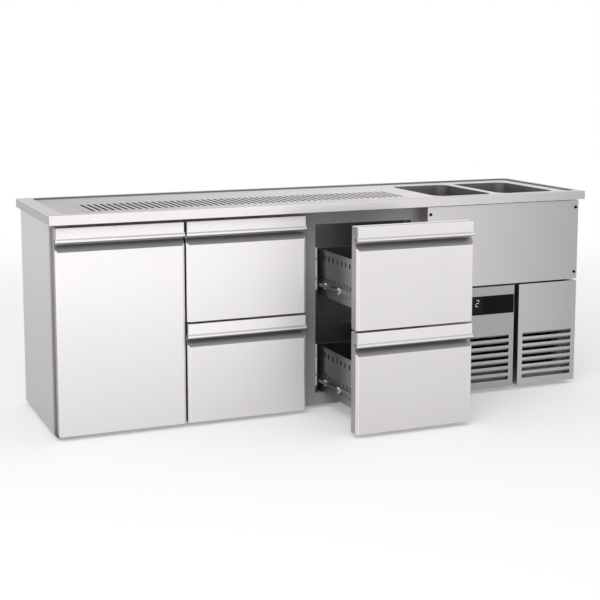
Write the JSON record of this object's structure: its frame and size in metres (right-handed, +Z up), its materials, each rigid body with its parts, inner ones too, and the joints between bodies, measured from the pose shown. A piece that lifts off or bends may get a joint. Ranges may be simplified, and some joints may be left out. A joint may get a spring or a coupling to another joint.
{
  "type": "beer counter",
  "caption": "Stainless beer counter with a slotted drip worktop, sink bowls, a hinged door, telescopic drawers and a louvred machine bay.",
  "frame": {"origin": "bottom centre of the bounding box, drawers of the right stack drawn out", "axes": "X along the counter to the right, Y to the back, Z up"},
  "size_m": [2.5, 1.107, 0.92],
  "materials": {
    "steel": "fine brushed stainless sheet",
    "front": "fine brushed stainless sheet over foam",
    "handle": "brushed stainless profile",
    "side": "fine brushed stainless sheet over foam",
    "panel": "fine brushed stainless sheet",
    "frame": "dull stainless sheet over foam",
    "sink": "pressed satin stainless sheet",
    "inner_steel": "dull stainless sheet",
    "liner": "dull stainless skins over foam",
    "waste": "polished waste fitting",
    "gasket": "soft black seal",
    "roller": "white nylon",
    "foot": "black plastic",
    "screw": "blackened screw",
    "controller": "black glossy window",
    "compressor": "black painted steel",
    "blade": "stamped aluminium",
    "motor": "grey painted steel",
    "coil": "bare fins on copper tube"
  },
  "bodies": {
    "cabinet": {"worktop": "steel", "drip_pan": "steel", "sink_left": "sink", "sink_right": "sink", "sink_wastes": "waste", "left_end_panel": "side", "right_end_panel": "side", "back_panel": "side", "base_panel": "liner", "ceiling_panel": "liner", "machine_partition": "liner", "front_frame": "frame", "levelling_feet": "foot", "hinge_brackets": "steel", "rack_strips": "inner_steel", "fixed_rails": "inner_steel", "shelf_rails": "inner_steel", "wire_shelf": "inner_steel", "service_panel": "panel", "panel_screws": "screw", "control_panel": "panel", "controller": "controller", "vent_panel": "panel", "condenser": "coil", "evaporator": "coil", "fan_motor": "motor", "compressor": "compressor"},
    "grille": {"drip_grille": "steel"},
    "door": {"door_front": "front", "door_handle": "handle", "door_gasket": "gasket"},
    "fan": {"fan_blade": "blade"},
    "centre_upper_drawer": {"centre_upper_front": "front", "centre_upper_handle": "handle", "centre_upper_gasket": "gasket", "centre_upper_box": "inner_steel", "centre_upper_rails": "inner_steel"},
    "centre_upper_runner": {"centre_upper_slides": "inner_steel", "centre_upper_rollers": "roller"},
    "centre_lower_drawer": {"centre_lower_front": "front", "centre_lower_handle": "handle", "centre_lower_gasket": "gasket", "centre_lower_box": "inner_steel", "centre_lower_rails": "inner_steel"},
    "centre_lower_runner": {"centre_lower_slides": "inner_steel", "centre_lower_rollers": "roller"},
    "right_upper_drawer": {"right_upper_front": "front", "right_upper_handle": "handle", "right_upper_gasket": "gasket", "right_upper_box": "inner_steel", "right_upper_rails": "inner_steel"},
    "right_upper_runner": {"right_upper_slides": "inner_steel", "right_upper_rollers": "roller"},
    "right_lower_drawer": {"right_lower_front": "front", "right_lower_handle": "handle", "right_lower_gasket": "gasket", "right_lower_box": "inner_steel", "right_lower_rails": "inner_steel"},
    "right_lower_runner": {"right_lower_slides": "inner_steel", "right_lower_rollers": "roller"}
  },
  "joints": [
    {"name": "grille_lift", "type": "slide", "parent": "cabinet", "child": "grille", "axis": [0, 0, 1], "range_m": [0, 0.06]},
    {"name": "door_hinge", "type": "hinge", "parent": "cabinet", "child": "door", "pos_m": [-1.2115, -0.0835, 0.018], "axis": [0, 0, -1], "range_deg": [0, 110]},
    {"name": "fan_spin", "type": "hinge", "parent": "cabinet", "child": "fan", "pos_m": [1.06475, 0.0715, 0.214], "axis": [0, -1, 0], "continuous": true},
    {"name": "centre_upper_pull", "type": "slide", "parent": "cabinet", "child": "centre_upper_drawer", "axis": [0, -1, 0], "range_m": [0, 0.46]},
    {"name": "centre_upper_runner_slide", "type": "slide", "parent": "cabinet", "child": "centre_upper_runner", "axis": [0, -1, 0], "range_m": [0, 0.23]},
    {"name": "centre_lower_pull", "type": "slide", "parent": "cabinet", "child": "centre_lower_drawer", "axis": [0, -1, 0], "range_m": [0, 0.46]},
    {"name": "centre_lower_runner_slide", "type": "slide", "parent": "cabinet", "child": "centre_lower_runner", "axis": [0, -1, 0], "range_m": [0, 0.23]},
    {"name": "right_upper_pull", "type": "slide", "parent": "cabinet", "child": "right_upper_drawer", "axis": [0, -1, 0], "range_m": [-0.43, 0.03]},
    {"name": "right_upper_runner_slide", "type": "slide", "parent": "cabinet", "child": "right_upper_runner", "axis": [0, -1, 0], "range_m": [-0.215, 0.015]},
    {"name": "right_lower_pull", "type": "slide", "parent": "cabinet", "child": "right_lower_drawer", "axis": [0, -1, 0], "range_m": [-0.43, 0.03]},
    {"name": "right_lower_runner_slide", "type": "slide", "parent": "cabinet", "child": "right_lower_runner", "axis": [0, -1, 0], "range_m": [-0.215, 0.015]}
  ],
  "couplings": [
    {"joint": "centre_upper_runner_slide", "follows": "centre_upper_pull", "ratio": 0.5},
    {"joint": "centre_lower_runner_slide", "follows": "centre_lower_pull", "ratio": 0.5},
    {"joint": "right_upper_runner_slide", "follows": "right_upper_pull", "ratio": 0.5},
    {"joint": "right_lower_runner_slide", "follows": "right_lower_pull", "ratio": 0.5}
  ]
}
